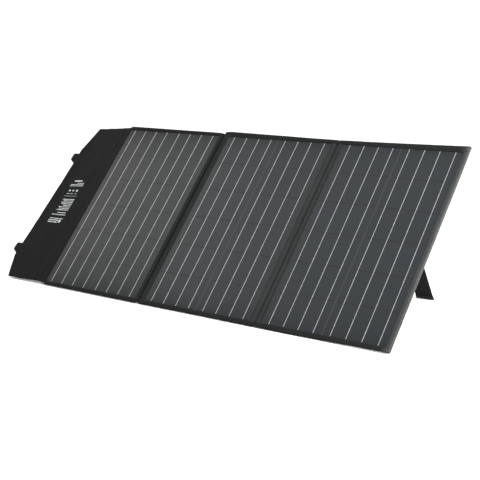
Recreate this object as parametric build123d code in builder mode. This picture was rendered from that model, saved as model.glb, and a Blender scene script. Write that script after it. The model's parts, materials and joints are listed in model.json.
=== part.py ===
from build123d import *
import math
import os

# A folding solar panel, standing open: three fabric-covered panels side by side, a closure flap
# on the left panel, and a kickstand leg behind each panel. Millimetres and degrees.
#
# The sheet is the plane of the cells' faces. It leans back by `tilt`. Places on it are given as
# x along the row of panels, y up the sheet from its middle, and height out of its face.
# In the part's frame X runs along the row, Y runs back, Z is up, and the origin is the middle of
# the footprint on the ground.

# Stance
tilt = 48.4
leg_opening = 75.0

# Cells: half-cut squares with four busbar ribbons each
cell_wide = 156.0
cell_high = 81.7
cell_columns = 2
cell_rows = 6
column_gap = 4.2
row_gap = 2.6
array_middle = -3.5
cell_corner = 2.0
ribbons_per_cell = 4
ribbon_wide = 1.6
link_wide = 2.5
link_gap = 0.3

# Sheet outline
pitch = 349.5
sheet_high = 533.0
spine_wide = 14.0
gusset_wide = 22.0
right_edge = 517.4
gusset_fold_x = -528.5
laminate_wide = 326.0
laminate_high = 520.0
window_margin = 1.5
corner_round = 4.0
fold_gap = 0.3

# Layers: the height of the cells' bed below the sheet, and thicknesses
cell_bed = -0.4
cell_thick = 0.3
ribbon_thick = 0.25
link_thick = 0.3
cover_thick = 0.8
laminate_thick = 1.6
board_thick = 3.0
board_inset = 2.0
board_top = 257.0
lining_thick = 0.6
tape_thick = 0.5
tape_wide = 11.0
fold_height = 1.6
strip_thick = 1.4
patch_thick = 0.8

# Closure flap: a stiffened fabric leaf with cut-off corners and two fastening tabs
flap_wide = 124.0
flap_top = 261.0
flap_bottom = -266.0
flap_corner_top = 178.0
flap_corner_bottom = -195.0
flap_cut_top = 23.5
flap_cut_bottom = 23.0
flap_board_thick = 1.5
flap_hem = 5.0
tab_tops = (171.0, -150.0)
tab_reach = 23.5
tab_root = 38.0
tab_end = 22.0
tab_inset = 15.0
tab_slope = 2.0
tab_thick = 1.2
hook_wide = 12.0
hook_high = 17.0
hook_inset = 2.0
loop_wide = 22.5

# Legs, hinged near the top of each back
leg_up = 156.3
leg_wide = 48.0
leg_thick = 4.0
leg_core_thick = 2.4
leg_core_inset = 2.0
leg_stand_off = 1.6
leg_top_gap = 0.8
foot_wall = 0.4
foot_cap = 7.0
foot_sole = 2.5
foot_trim = 2.0
leg_patch_high = 30.0
strap_wide = 20.0
strap_thick = 1.0
strap_gap = 0.1
strap_reach = 185.0
strap_tab = 24.0

# Carry handle, a webbing arch on the middle panel's back
handle_x = -137.0
handle_wide = 25.0
handle_thick = 2.5
handle_span = 164.0
handle_rise = 28.0
handle_tab = 30.0
handle_overlap = 4.0
handle_patch_border = 6.0

# Junction box on the left panel's back
box_x = -447.0
box_y = 190.0
box_wide = 92.0
box_high = 62.0
box_deep = 15.0
box_wall = 2.0
box_round = 5.0
boss_radius = 4.0
boss_inset = 6.5
pilot_radius = 1.3
pilot_deep = 9.0
gasket_thick = 0.8
lid_thick = 3.0
lid_chamfer = 0.8
screw_radius = 1.25
screw_head_radius = 2.6
screw_head_deep = 1.8
screw_long = 9.0
screw_clearance = 0.3
head_clearance = 0.2
driver_slot = (2.6, 0.7, 0.9)
circuit_size = (66.0, 42.0, 1.6)
circuit_stand = 3.0
circuit_round = 2.0
post_radius = 2.5
post_spacing = (54.0, 30.0)
diode_radius = 2.6
diode_long = 9.5
diode_lift = 0.1
diode_spacing = 9.0
diode_place = (-26.0, -6.0)
terminal_size = (14.0, 10.0, 7.0)
terminal_spacing = 15.0
terminal_x = 16.0
terminal_hole = (2.2, 5.0)
gland_height = 7.8
gland_radius = 4.5
gland_bore = 2.6
gland_flange_radius = 6.6
gland_flange_thick = 2.5
gland_nut_long = 11.0
gland_nut_radius = 6.0
gland_nut_round = 2.4
gland_clearance = 0.1
gland_inside = 2.0

# Heights
cover_face = cell_bed + cover_thick
tape_face = cover_face + tape_thick
board_face = cell_bed - laminate_thick
lining_face = board_face - board_thick
back_face = lining_face - lining_thick
tape_back = back_face - tape_thick
leg_height = back_face - leg_stand_off

# Places along the row
right_fold_x = pitch / 2
inner_fold_x = -pitch / 2 + spine_wide / 2
outer_fold_x = -pitch / 2 - spine_wide / 2
flap_fold_x = gusset_fold_x - gusset_wide
flap_edge = flap_fold_x - flap_wide
array_wide = cell_columns * cell_wide + (cell_columns - 1) * column_gap
array_high = cell_rows * cell_high + (cell_rows - 1) * row_gap
window_wide = array_wide + 2 * window_margin
window_high = array_high + 2 * window_margin
cover_half = sheet_high / 2 - tape_thick
board_half = cover_half - board_inset
link_y = window_high / 2 + link_wide / 2 + link_gap

# Each panel: its middle, the left and right edge of its fabric, and of its stiffener board
panels = {
    "left": (-pitch, gusset_fold_x + fold_gap, outer_fold_x - fold_gap, -525.0, -186.5),
    "centre": (0.0, inner_fold_x + fold_gap, right_fold_x - fold_gap, -163.0, 163.0),
    "right": (pitch, right_fold_x + fold_gap, right_edge - tape_thick, 186.5, 516.0),
}

# Where the sheet and the legs stand on the ground
sin_tilt = math.sin(math.radians(tilt))
cos_tilt = math.cos(math.radians(tilt))
sin_lean = math.sin(math.radians(tilt + leg_opening))
cos_lean = math.cos(math.radians(tilt + leg_opening))
sheet_z = sheet_high / 2 * sin_tilt - tape_back * cos_tilt
hinge_z = sheet_z + leg_up * sin_tilt + leg_height * cos_tilt
hinge_y = leg_up * cos_tilt - leg_height * sin_tilt
leg_long = hinge_z / sin_lean - foot_sole
foot_face = leg_thick + foot_wall
foot_long = (hinge_z - foot_face * cos_lean) / sin_lean
front_y = -sheet_high / 2 * cos_tilt - tape_face * sin_tilt
back_y = hinge_y - foot_long * cos_lean + foot_face * sin_lean
left_end = flap_edge - tab_reach
sheet_x = -(left_end + right_edge) / 2
sheet_y = -(front_y + back_y) / 2

sheet = Plane(
    origin=(sheet_x, sheet_y, sheet_z), x_dir=(1, 0, 0), z_dir=(0, -sin_tilt, cos_tilt)
)


def at(x, y, height):
    """The point of the part's frame at a place on the sheet."""
    return sheet.from_local_coords((x, y, height))


def behind(x, y):
    """A plane on the panels' backs: x along the row, y down the sheet, z away from the back."""
    return Plane(origin=at(x, y, back_face), x_dir=(1, 0, 0), z_dir=-sheet.z_dir)


def write(piece, name):
    """Label a finished piece and write its file."""
    piece.part.label = name
    export_step(piece.part, f"parts/{name}.step")


def area(x_low, x_high, y_low, y_high, mode=Mode.ADD):
    """A rectangle between two corners, in the sketch being drawn."""
    with Locations(((x_low + x_high) / 2, (y_low + y_high) / 2)):
        Rectangle(x_high - x_low, y_high - y_low, mode=mode)


def slab(x_low, x_high, y_low, y_high, bottom, top):
    """A flat rectangular piece lying in the sheet between two heights."""
    with BuildPart() as piece:
        with BuildSketch(sheet.offset(bottom)):
            area(x_low, x_high, y_low, y_high)
        extrude(amount=top - bottom)
    return piece


# The panels


def make_cells(side, middle):
    """The half-cut cells: thin wafers with their corners taken off."""
    with BuildPart() as cells:
        with BuildSketch(sheet.offset(cell_bed)) as wafers:
            with Locations((middle, array_middle)):
                with GridLocations(
                    cell_wide + column_gap, cell_high + row_gap, cell_columns, cell_rows
                ):
                    Rectangle(cell_wide, cell_high)
            chamfer(wafers.vertices(), length=cell_corner)
        extrude(amount=cell_thick)
    write(cells, f"cells_{side}")


def make_ribbons(side, middle):
    """The busbar ribbons that run up the cells of each column."""
    with BuildPart() as ribbons:
        with BuildSketch(sheet.offset(cell_bed + cell_thick)):
            with Locations((middle, array_middle)):
                with GridLocations(cell_wide + column_gap, 1, cell_columns, 1):
                    with GridLocations(cell_wide / ribbons_per_cell, 1, ribbons_per_cell, 1):
                        Rectangle(ribbon_wide, array_high)
        extrude(amount=ribbon_thick)
    write(ribbons, f"ribbons_{side}")


def draw_links(middle):
    """The two end links' outlines, above and below the cells."""
    with Locations((middle, array_middle - link_y), (middle, array_middle + link_y)):
        Rectangle(array_wide, link_wide)


def make_laminate(side, middle):
    """The stiff glass-fibre sheet that carries the cells, and the end links let into it."""
    with BuildPart() as laminate:
        with BuildSketch(sheet.offset(board_face)):
            with Locations((middle, 0)):
                RectangleRounded(laminate_wide, laminate_high, corner_round)
        extrude(amount=laminate_thick)
        with BuildSketch(sheet.offset(cell_bed - link_thick)):
            draw_links(middle)
        extrude(amount=link_thick, mode=Mode.SUBTRACT)
    write(laminate, f"laminate_{side}")
    with BuildPart() as links:
        with BuildSketch(sheet.offset(cell_bed - link_thick)):
            draw_links(middle)
        extrude(amount=link_thick)
    write(links, f"end_links_{side}")


def round_free_corners(side, outline, radius):
    """Round the two corners at the row's free end, which only the right panel has."""
    if side == "right":
        fillet(outline.vertices().sort_by(Axis.X)[-2:], radius=radius)


def make_cover(side, middle, low, high):
    """The front fabric, with a window over the cells."""
    with BuildPart() as cover:
        with BuildSketch(sheet.offset(cell_bed)) as outline:
            area(low, high, -cover_half, cover_half)
            round_free_corners(side, outline, corner_round)
            with Locations((middle, array_middle)):
                Rectangle(window_wide, window_high, mode=Mode.SUBTRACT)
        extrude(amount=cover_thick)
    write(cover, f"front_cover_{side}")


def make_lining(side, low, high):
    """The back fabric."""
    with BuildPart() as lining:
        with BuildSketch(sheet.offset(back_face)) as outline:
            area(low, high, -cover_half, cover_half)
            round_free_corners(side, outline, corner_round)
        extrude(amount=lining_thick)
    write(lining, f"back_cover_{side}")


def make_board(side, low, high):
    """The foam stiffener board behind the laminate."""
    with BuildPart() as board:
        with BuildSketch(sheet.offset(lining_face)) as outline:
            area(low, high, -board_half, board_top)
            fillet(outline.vertices(), radius=corner_round)
        extrude(amount=board_thick)
    write(board, f"board_{side}")


def make_binding(side, middle):
    """The binding tape folded over the edges: top and bottom, and round the free end."""
    start = middle - window_wide / 2 - window_margin
    end = middle + window_wide / 2 + window_margin
    open_end = end
    if side == "right":
        end = right_edge
        open_end = end - tape_wide
    filled_end = min(end, right_edge - tape_thick)
    with BuildPart() as binding:
        with BuildSketch(sheet.offset(tape_back)) as outline:
            area(start, end, -sheet_high / 2, sheet_high / 2)
            round_free_corners(side, outline, corner_round + tape_thick)
            inside = sheet_high / 2 - tape_wide
            area(start, open_end, -inside, inside, mode=Mode.SUBTRACT)
        extrude(amount=tape_face - tape_back)
        with BuildSketch(sheet.offset(back_face)) as filling:
            area(start, filled_end, -cover_half, cover_half)
            round_free_corners(side, filling, corner_round)
        extrude(amount=cover_face - back_face, mode=Mode.SUBTRACT)
    write(binding, f"binding_{side}")


def make_panel(side):
    """Every layer of one panel."""
    middle, low, high, board_low, board_high = panels[side]
    make_cells(side, middle)
    make_ribbons(side, middle)
    make_laminate(side, middle)
    make_cover(side, middle, low, high)
    make_lining(side, low, high)
    make_board(side, board_low, board_high)
    make_binding(side, middle)


def make_fold_strips():
    """The fabric spine of the left fold and the gusset beside the flap, each between two folds."""
    for name, low, high in (
        ("left_fold_strip", outer_fold_x, inner_fold_x),
        ("flap_gusset", flap_fold_x, gusset_fold_x),
    ):
        strip = slab(
            low + fold_gap,
            high - fold_gap,
            flap_bottom,
            flap_top,
            cover_face - strip_thick,
            cover_face,
        )
        write(strip, name)


# The closure flap


def flap_corners(hem):
    """The corners of the flap's outline, drawn in from its edge by a hem."""
    outer = flap_edge + hem
    inner = flap_fold_x - fold_gap - hem
    top = flap_top - hem
    bottom = flap_bottom + hem
    return (
        (inner, bottom),
        (inner, top),
        (flap_edge + flap_cut_top + hem / 2, top),
        (outer, flap_corner_top),
        (outer, flap_corner_bottom),
        (flap_edge + flap_cut_bottom + hem / 2, bottom),
    )


def make_flap():
    """The flap's front fabric, stiffener and back fabric."""
    flap_core = cell_bed - flap_board_thick
    layers = (
        ("flap_front", 0.0, cell_bed, cover_thick),
        ("flap_board", flap_hem, flap_core, flap_board_thick),
        ("flap_back", 0.0, flap_core - lining_thick, lining_thick),
    )
    for name, hem, bottom, thickness in layers:
        with BuildPart() as layer:
            with BuildSketch(sheet.offset(bottom)):
                with BuildLine():
                    Polyline(*flap_corners(hem), close=True)
                make_face()
            extrude(amount=thickness)
        write(layer, name)
    return flap_core - lining_thick


def make_tabs(flap_back):
    """The two fastening tabs, their hook patches, and the loop patches that they close onto."""
    with BuildPart() as tabs:
        for top in tab_tops:
            with BuildSketch(sheet.offset(flap_back - tab_thick)):
                with BuildLine():
                    Polyline(
                        (flap_edge + tab_inset, top),
                        (flap_edge - tab_reach, top - tab_slope),
                        (flap_edge - tab_reach, top - tab_slope - tab_end),
                        (flap_edge, top - tab_root),
                        (flap_edge + tab_inset, top - tab_root),
                        close=True,
                    )
                make_face()
            extrude(amount=tab_thick)
    write(tabs, "closure_tabs")
    hook_edge = flap_edge - hook_inset
    with BuildPart() as hooks:
        with BuildSketch(sheet.offset(flap_back)):
            for top in tab_tops:
                middle = top - tab_slope - tab_end / 2
                area(
                    hook_edge - hook_wide,
                    hook_edge,
                    middle - hook_high / 2,
                    middle + hook_high / 2,
                )
        extrude(amount=patch_thick)
    write(hooks, "hook_patches")
    folded_edge = inner_fold_x + outer_fold_x - gusset_fold_x - flap_wide
    folded_reach = folded_edge - tab_reach - hook_inset
    with BuildPart() as loops:
        with BuildSketch(sheet.offset(back_face - patch_thick)):
            for top in tab_tops:
                area(folded_reach, folded_reach + loop_wide, top - tab_root, top)
        extrude(amount=patch_thick)
    write(loops, "loop_patches")


# The legs


def leg_plane(middle):
    """A plane on a leg's inner face: y runs down the leg from its pivot, z out of its back."""
    return Plane(
        origin=at(middle, leg_up, leg_height), x_dir=(1, 0, 0), z_dir=(0, sin_lean, -cos_lean)
    )


def make_leg(side, middle):
    """A leg: a stiff core in a fabric sleeve, with a rubber foot cut flat on the ground."""
    inner_face = leg_plane(middle)
    half = leg_wide / 2
    core_half = half - leg_core_inset
    core_height = (leg_thick - leg_core_thick) / 2
    core_top = leg_top_gap + leg_core_inset
    with BuildPart() as core:
        with BuildSketch(inner_face.offset(core_height)):
            area(-core_half, core_half, core_top, leg_long)
        extrude(amount=leg_core_thick)
    write(core, f"leg_core_{side}")
    with BuildPart() as sleeve:
        with BuildSketch(inner_face):
            area(-half, half, leg_top_gap, leg_long)
        extrude(amount=leg_thick)
        with BuildSketch(inner_face.offset(core_height)):
            area(-core_half, core_half, core_top, leg_long)
        extrude(amount=leg_core_thick, mode=Mode.SUBTRACT)
    write(sleeve, f"leg_sleeve_{side}")
    with BuildPart() as foot:
        with BuildSketch(inner_face.offset(-foot_wall)):
            area(-half - foot_wall, half + foot_wall, leg_long - foot_cap, foot_long + foot_trim)
        extrude(amount=leg_thick + 2 * foot_wall)
        with BuildSketch(inner_face):
            area(-half, half, leg_top_gap, leg_long)
        extrude(amount=leg_thick, mode=Mode.SUBTRACT)
        split(bisect_by=Plane.XY, keep=Keep.TOP)
    write(foot, f"leg_foot_{side}")


def make_leg_fastening(side, middle):
    """The patch that hinges a leg to the back, and the stay strap that stops it opening."""
    half = leg_wide / 2
    patch = slab(
        middle - half,
        middle + half,
        leg_up,
        leg_up + leg_patch_high,
        back_face - patch_thick,
        back_face,
    )
    write(patch, f"leg_hinge_{side}")
    middle_line = strap_gap + strap_thick / 2
    leg_end = leg_plane(middle).from_local_coords((0, strap_reach, -middle_line))
    back_end = at(middle, leg_up - strap_reach, back_face - middle_line)
    run = back_end - leg_end
    run_plane = Plane(
        origin=leg_end, x_dir=(1, 0, 0), z_dir=Vector(1, 0, 0).cross(run.normalized())
    )
    half = strap_wide / 2
    with BuildPart() as strap:
        with BuildSketch(leg_plane(middle).offset(-strap_gap)):
            area(-half, half, strap_reach, strap_reach + strap_tab)
        extrude(amount=-strap_thick)
        with BuildSketch(run_plane):
            area(-half, half, 0, run.length)
        extrude(amount=strap_thick / 2, both=True)
        with BuildSketch(behind(middle, leg_up).offset(strap_gap)):
            area(-half, half, strap_reach, strap_reach + strap_tab)
        extrude(amount=strap_thick)
    write(strap, f"leg_strap_{side}")


# The carry handle


def make_handle():
    """A webbing arch to put a hand through, sewn down under two patches."""
    profile = Plane(
        origin=at(handle_x - handle_wide / 2, 0, back_face - patch_thick),
        x_dir=sheet.y_dir,
        z_dir=sheet.x_dir,
    )
    half = handle_span / 2
    with BuildPart() as strap:
        with BuildSketch(profile):
            with BuildLine():
                ThreePointArc((-half, 0), (0, -handle_rise), (half, 0))
                Line((half, 0), (-half, 0))
            make_face()
            with BuildLine():
                inner = half - 2 * handle_thick
                ThreePointArc((-inner, 0), (0, handle_thick - handle_rise), (inner, 0))
                Line((inner, 0), (-inner, 0))
            make_face(mode=Mode.SUBTRACT)
            for end in (-1, 1):
                with Locations((end * (half + handle_tab / 2 - handle_overlap), -handle_thick / 2)):
                    Rectangle(handle_tab, handle_thick)
        extrude(amount=handle_wide)
    write(strap, "handle_strap")
    with BuildPart() as patches:
        with BuildSketch(sheet.offset(back_face - patch_thick)):
            with Locations((handle_x, 0)):
                with GridLocations(1, handle_span + handle_tab, 1, 2):
                    RectangleRounded(
                        handle_wide + 2 * handle_patch_border,
                        handle_tab + 2 * handle_patch_border,
                        corner_round,
                    )
        extrude(amount=patch_thick)
    write(patches, "handle_patches")


# The junction box


def box_corners():
    """The places of the junction box's four screws."""
    return GridLocations(box_wide - 2 * boss_inset, box_high - 2 * boss_inset, 2, 2)


def gland_plane(distance):
    """A plane across the cable gland's axis, a distance out from the middle of the box."""
    return Plane(
        origin=at(box_x, box_y - distance, back_face - gland_height),
        x_dir=(1, 0, 0),
        z_dir=-sheet.y_dir,
    )


def make_box_shell():
    """The junction box's base, its gasket, its lid and the lid's screws."""
    floor = behind(box_x, box_y)
    with BuildPart() as base:
        with BuildSketch(floor):
            RectangleRounded(box_wide, box_high, box_round)
        extrude(amount=box_deep)
        with BuildSketch(floor.offset(box_wall)):
            RectangleRounded(
                box_wide - 2 * box_wall, box_high - 2 * box_wall, box_round - box_wall
            )
            with box_corners():
                Circle(boss_radius, mode=Mode.SUBTRACT)
        extrude(amount=box_deep - box_wall, mode=Mode.SUBTRACT)
        with BuildSketch(floor.offset(box_deep)):
            with box_corners():
                Circle(pilot_radius)
        extrude(amount=-pilot_deep, mode=Mode.SUBTRACT)
        with BuildSketch(floor.offset(box_wall)):
            with GridLocations(*post_spacing, 2, 2):
                Circle(post_radius)
        extrude(amount=circuit_stand)
        with BuildSketch(gland_plane(box_high / 2 - box_wall - gland_inside / 2)):
            Circle(gland_radius + gland_clearance)
        extrude(amount=box_wall + gland_inside, mode=Mode.SUBTRACT)
    write(base, "junction_base")
    with BuildPart() as gasket:
        with BuildSketch(floor.offset(box_deep)):
            RectangleRounded(box_wide, box_high, box_round)
            RectangleRounded(
                box_wide - 2 * box_wall,
                box_high - 2 * box_wall,
                box_round - box_wall,
                mode=Mode.SUBTRACT,
            )
        extrude(amount=gasket_thick)
    write(gasket, "junction_gasket")
    lid_height = box_deep + gasket_thick
    with BuildPart() as lid:
        with BuildSketch(floor.offset(lid_height)):
            RectangleRounded(box_wide, box_high, box_round)
            with box_corners():
                Circle(screw_radius + screw_clearance, mode=Mode.SUBTRACT)
        extrude(amount=lid_thick)
        top_edges = lid.faces().sort_by(Axis(floor.origin, floor.z_dir))[-1].outer_wire().edges()
        chamfer(top_edges, length=lid_chamfer)
        with BuildSketch(floor.offset(lid_height + lid_thick)):
            with box_corners():
                Circle(screw_head_radius + head_clearance)
        extrude(amount=-screw_head_deep, mode=Mode.SUBTRACT)
    write(lid, "junction_lid")
    with BuildPart() as screws:
        seat = lid_height + lid_thick - screw_head_deep
        slot_long, slot_wide, slot_deep = driver_slot
        with BuildSketch(floor.offset(seat)):
            with box_corners():
                Circle(screw_head_radius)
        extrude(amount=screw_head_deep - head_clearance)
        with BuildSketch(floor.offset(seat)):
            with box_corners():
                Circle(screw_radius)
        extrude(amount=-screw_long)
        with BuildSketch(floor.offset(seat + screw_head_deep - head_clearance)):
            with box_corners():
                Rectangle(slot_long, slot_wide)
                Rectangle(slot_wide, slot_long)
        extrude(amount=-slot_deep, mode=Mode.SUBTRACT)
    write(screws, "junction_screws")


def make_box_inside():
    """The circuit board, the blocking diodes and the screw terminals."""
    wide, high, thickness = circuit_size
    board_height = box_wall + circuit_stand
    floor = behind(box_x, box_y)
    with BuildPart() as circuit:
        with BuildSketch(floor.offset(board_height)):
            RectangleRounded(wide, high, circuit_round)
        extrude(amount=thickness)
    write(circuit, "circuit_board")
    top = floor.offset(board_height + thickness)
    diode_x, diode_y = diode_place
    with BuildPart() as diodes:
        for row in (-1, 0, 1):
            start = (diode_x, diode_y + row * diode_spacing, diode_radius + diode_lift)
            with BuildSketch(
                Plane(origin=top.from_local_coords(start), x_dir=top.y_dir, z_dir=top.x_dir)
            ):
                Circle(diode_radius)
            extrude(amount=diode_long)
    write(diodes, "blocking_diodes")
    long, wide, high = terminal_size
    hole_radius, hole_deep = terminal_hole
    with BuildPart() as terminals:
        with BuildSketch(top):
            with Locations((terminal_x, 0)):
                with GridLocations(1, terminal_spacing, 1, 2):
                    Rectangle(long, wide)
        extrude(amount=high)
        with BuildSketch(top.offset(high)):
            with Locations((terminal_x, 0)):
                with GridLocations(1, terminal_spacing, 1, 2):
                    Circle(hole_radius)
        extrude(amount=-hole_deep, mode=Mode.SUBTRACT)
    write(terminals, "screw_terminals")


def make_gland():
    """The cable gland: a flanged body through the box's lower wall, and its domed nut."""
    wall = box_high / 2
    with BuildPart() as body:
        with BuildSketch(gland_plane(wall - box_wall - gland_inside)):
            Circle(gland_radius)
        extrude(amount=box_wall + gland_inside + gland_flange_thick)
        with BuildSketch(gland_plane(wall)):
            RegularPolygon(gland_flange_radius, 6)
        extrude(amount=gland_flange_thick)
        with BuildSketch(gland_plane(wall - box_wall - gland_inside)):
            Circle(gland_bore)
        extrude(amount=box_wall + gland_inside + gland_flange_thick, mode=Mode.SUBTRACT)
    write(body, "gland_body")
    start = wall + gland_flange_thick
    with BuildPart() as nut:
        with BuildSketch(gland_plane(start)):
            Circle(gland_nut_radius)
        extrude(amount=gland_nut_long)
        mouth = nut.faces().sort_by(Axis(gland_plane(start).origin, -sheet.y_dir))[-1]
        fillet(mouth.edges(), radius=gland_nut_round)
        with BuildSketch(gland_plane(start)):
            Circle(gland_bore)
        extrude(amount=gland_nut_long, mode=Mode.SUBTRACT)
    write(nut, "gland_nut")


os.makedirs("parts", exist_ok=True)
for side, (middle, *_) in panels.items():
    make_panel(side)
    make_leg(side, middle)
    make_leg_fastening(side, middle)
make_fold_strips()
make_tabs(make_flap())
make_handle()
make_box_shell()
make_box_inside()
make_gland()
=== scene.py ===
import json
import math
import random

import bmesh
import bpy
from mathutils import Matrix, Vector, noise


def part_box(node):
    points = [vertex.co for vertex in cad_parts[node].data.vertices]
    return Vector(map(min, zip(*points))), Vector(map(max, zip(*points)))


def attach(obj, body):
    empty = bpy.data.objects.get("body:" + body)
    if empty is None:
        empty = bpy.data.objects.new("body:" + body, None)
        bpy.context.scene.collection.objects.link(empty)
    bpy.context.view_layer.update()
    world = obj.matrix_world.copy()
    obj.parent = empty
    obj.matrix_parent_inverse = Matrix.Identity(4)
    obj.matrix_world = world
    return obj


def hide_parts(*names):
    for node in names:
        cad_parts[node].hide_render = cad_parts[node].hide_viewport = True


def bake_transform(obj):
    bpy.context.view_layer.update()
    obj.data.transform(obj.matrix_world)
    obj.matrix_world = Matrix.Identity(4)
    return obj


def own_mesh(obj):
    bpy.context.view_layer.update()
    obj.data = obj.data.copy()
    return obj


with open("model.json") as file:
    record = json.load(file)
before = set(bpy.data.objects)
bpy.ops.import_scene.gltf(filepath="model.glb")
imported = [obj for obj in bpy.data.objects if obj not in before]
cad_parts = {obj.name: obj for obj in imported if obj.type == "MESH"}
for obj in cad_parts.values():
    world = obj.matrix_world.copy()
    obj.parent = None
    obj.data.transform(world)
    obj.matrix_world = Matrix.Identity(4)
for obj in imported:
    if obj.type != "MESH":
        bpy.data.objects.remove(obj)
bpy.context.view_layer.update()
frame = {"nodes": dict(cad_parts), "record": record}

# A folding solar panel, standing open. Lengths are in millimetres until place() turns them into
# the row frame's metres. Every place on it is given in the sheet's own frame: x along the row of
# panels from the middle of the centre panel, y up the sheet from its middle, and height out of
# the cells' faces. The sheet leans back, and its frame comes from the CAD joints.

MM = 0.001
SIDES = ("left", "centre", "right")
joints = {joint["name"]: joint for joint in frame["record"]["behaviour"]["joints"]}

for left_over in ("Cube", "Light", "Camera"):
    if left_over in bpy.data.objects:
        bpy.data.objects.remove(bpy.data.objects[left_over])


# The sheet's frame

across = Vector((1, 0, 0))
up = -Vector(joints["right_fold"]["axis"]).normalized()
out = across.cross(up)
right_pivot = Vector(joints["right_fold"]["pos_m"])
cells_low, cells_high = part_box("cells_centre")
PIVOT_HEIGHT = 1.6
sheet_origin = right_pivot - out * PIVOT_HEIGHT * MM
sheet_origin.x = (cells_low.x + cells_high.x) / 2


def place(x, y, height):
    """The point of the row frame at a place on the sheet."""
    return sheet_origin + (across * x + up * y + out * height) * MM


def on_sheet(point):
    """A point of the row frame, as its place on the sheet."""
    away = (Vector(point) - sheet_origin) / MM
    return Vector((away.dot(across), away.dot(up), away.dot(out)))


def span(node):
    """The lowest and highest place that a CAD node reaches on the sheet."""
    places = [on_sheet(vertex.co) for vertex in frame["nodes"][node].data.vertices]
    return tuple(Vector([pick(p[i] for p in places) for i in range(3)]) for pick in (min, max))


def pivot_of(joint):
    """A joint's pivot, as its place on the sheet."""
    return on_sheet(joints[joint]["pos_m"])


cell_span = {side: span(f"cells_{side}") for side in SIDES}
middles = {side: (cell_span[side][0].x + cell_span[side][1].x) / 2 for side in SIDES}
right_edge, sheet_top, _ = span("binding_right")[1]
back_face = span("back_cover_centre")[0].z
flap_edge = span("flap_front")[0].x
WINDOW_MARGIN = 1.5
window_half = cell_span["centre"][1].x - middles["centre"] + WINDOW_MARGIN
window_top = cell_span["centre"][1].y + WINDOW_MARGIN
window_bottom = cell_span["centre"][0].y - WINDOW_MARGIN
TAPE_WIDE = sheet_top + window_bottom
TOP_TAPE_WIDE = sheet_top - window_top
CREASES = ("gusset_fold", "flap_fold", "left_fold", "left_inner_fold", "right_fold")
gusset_x, flap_x, outer_x, inner_x, right_x = (pivot_of(joint).x for joint in CREASES)
left_window, last_window = (middles["left"] + sign * window_half for sign in (-1, 1))
centre_window, right_window = (middles["centre"] + sign * window_half for sign in (-1, 1))
next_window = middles["right"] - window_half


# Materials

materials = {}
NOISE_ROUGHNESS = 0.55
WAVE_SCALE = 20


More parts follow.
